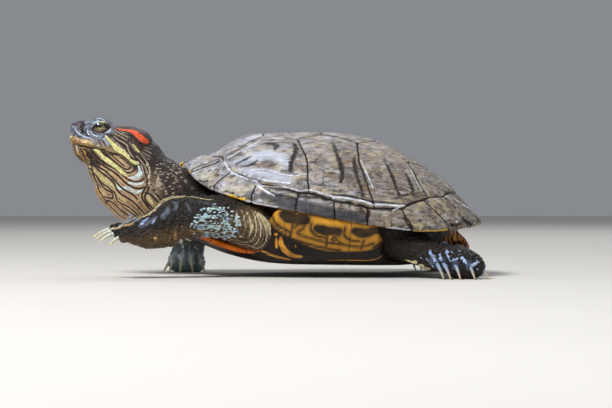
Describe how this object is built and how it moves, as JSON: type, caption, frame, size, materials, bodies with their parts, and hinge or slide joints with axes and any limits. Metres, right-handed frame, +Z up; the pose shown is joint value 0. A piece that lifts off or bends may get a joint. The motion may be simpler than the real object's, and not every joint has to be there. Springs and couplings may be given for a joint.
{
  "type": "red-eared slider turtle",
  "caption": "Life-size still model of a red-eared slider turtle, walking with its head raised and its left front foot lifted.",
  "frame": {"origin": "middle of the bounding box in plan, on the floor that the turtle stands on", "axes": "+Z up, head towards -X, the animal's left side towards -Y"},
  "size_m": [0.251, 0.1526, 0.0964],
  "materials": {
    "shell": "horny scutes, satin with a worn sheen",
    "belly": "yellow-orange horny plates with dark blotches, satin",
    "skin": "scaly skin, slightly moist",
    "striped_skin": "fine skin with dark and cream stripes",
    "eye": "wet and glossy",
    "claw": "smooth horn"
  },
  "bodies": {
    "root": {"carapace": "shell", "plastron": "belly", "trunk": "skin", "leg_front_left": "skin", "foot_front_left": "skin", "claw_front_left_1": "claw", "claw_front_left_2": "claw", "claw_front_left_3": "claw", "claw_front_left_4": "claw", "claw_front_left_5": "claw", "leg_front_right": "skin", "foot_front_right": "skin", "claw_front_right_1": "claw", "claw_front_right_2": "claw", "claw_front_right_3": "claw", "claw_front_right_4": "claw", "claw_front_right_5": "claw", "leg_hind_left": "skin", "foot_hind_left": "skin", "claw_hind_left_1": "claw", "claw_hind_left_2": "claw", "claw_hind_left_3": "claw", "claw_hind_left_4": "claw", "claw_hind_left_5": "claw", "leg_hind_right": "skin", "foot_hind_right": "skin", "claw_hind_right_1": "claw", "claw_hind_right_2": "claw", "claw_hind_right_3": "claw", "claw_hind_right_4": "claw", "claw_hind_right_5": "claw", "tail": "skin", "neck": "striped_skin", "head": "striped_skin", "jaw": "striped_skin", "eye_left": "eye", "eye_right": "eye"}
  },
  "joints": []
}
